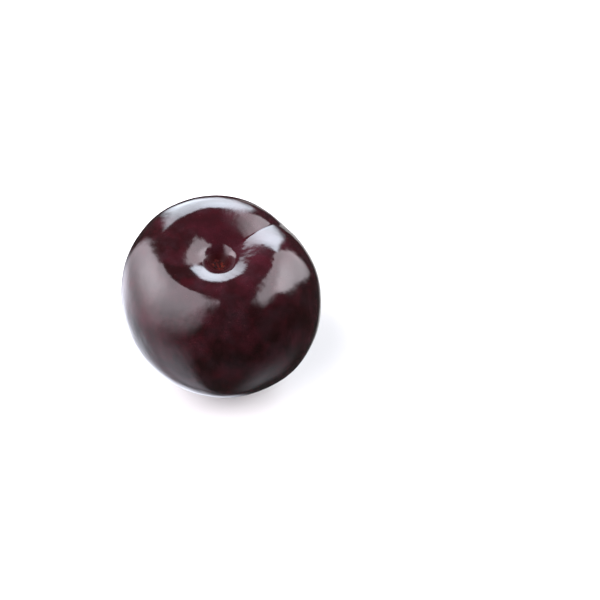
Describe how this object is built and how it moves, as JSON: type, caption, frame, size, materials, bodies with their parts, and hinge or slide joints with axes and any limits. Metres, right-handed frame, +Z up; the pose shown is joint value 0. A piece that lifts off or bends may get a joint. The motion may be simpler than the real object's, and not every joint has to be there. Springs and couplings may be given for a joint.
{
  "type": "plum",
  "caption": "Whole ripe dark plum picked without its stalk, with a stem cavity on top, a shallow suture groove down one side and a small flat spot that it rests on.",
  "frame": {"origin": "middle of the small flat spot that the plum rests on", "axes": "+Z up the stem axis, with the stem cavity on top; +Y towards the suture groove; X across the two cheeks"},
  "size_m": [0.0654, 0.0607, 0.0569],
  "materials": {
    "skin": "glossy, very dark red-purple plum skin, redder round the stem cavity and dull in its throat"
  },
  "bodies": {
    "root": {"plum": "skin"}
  },
  "joints": []
}
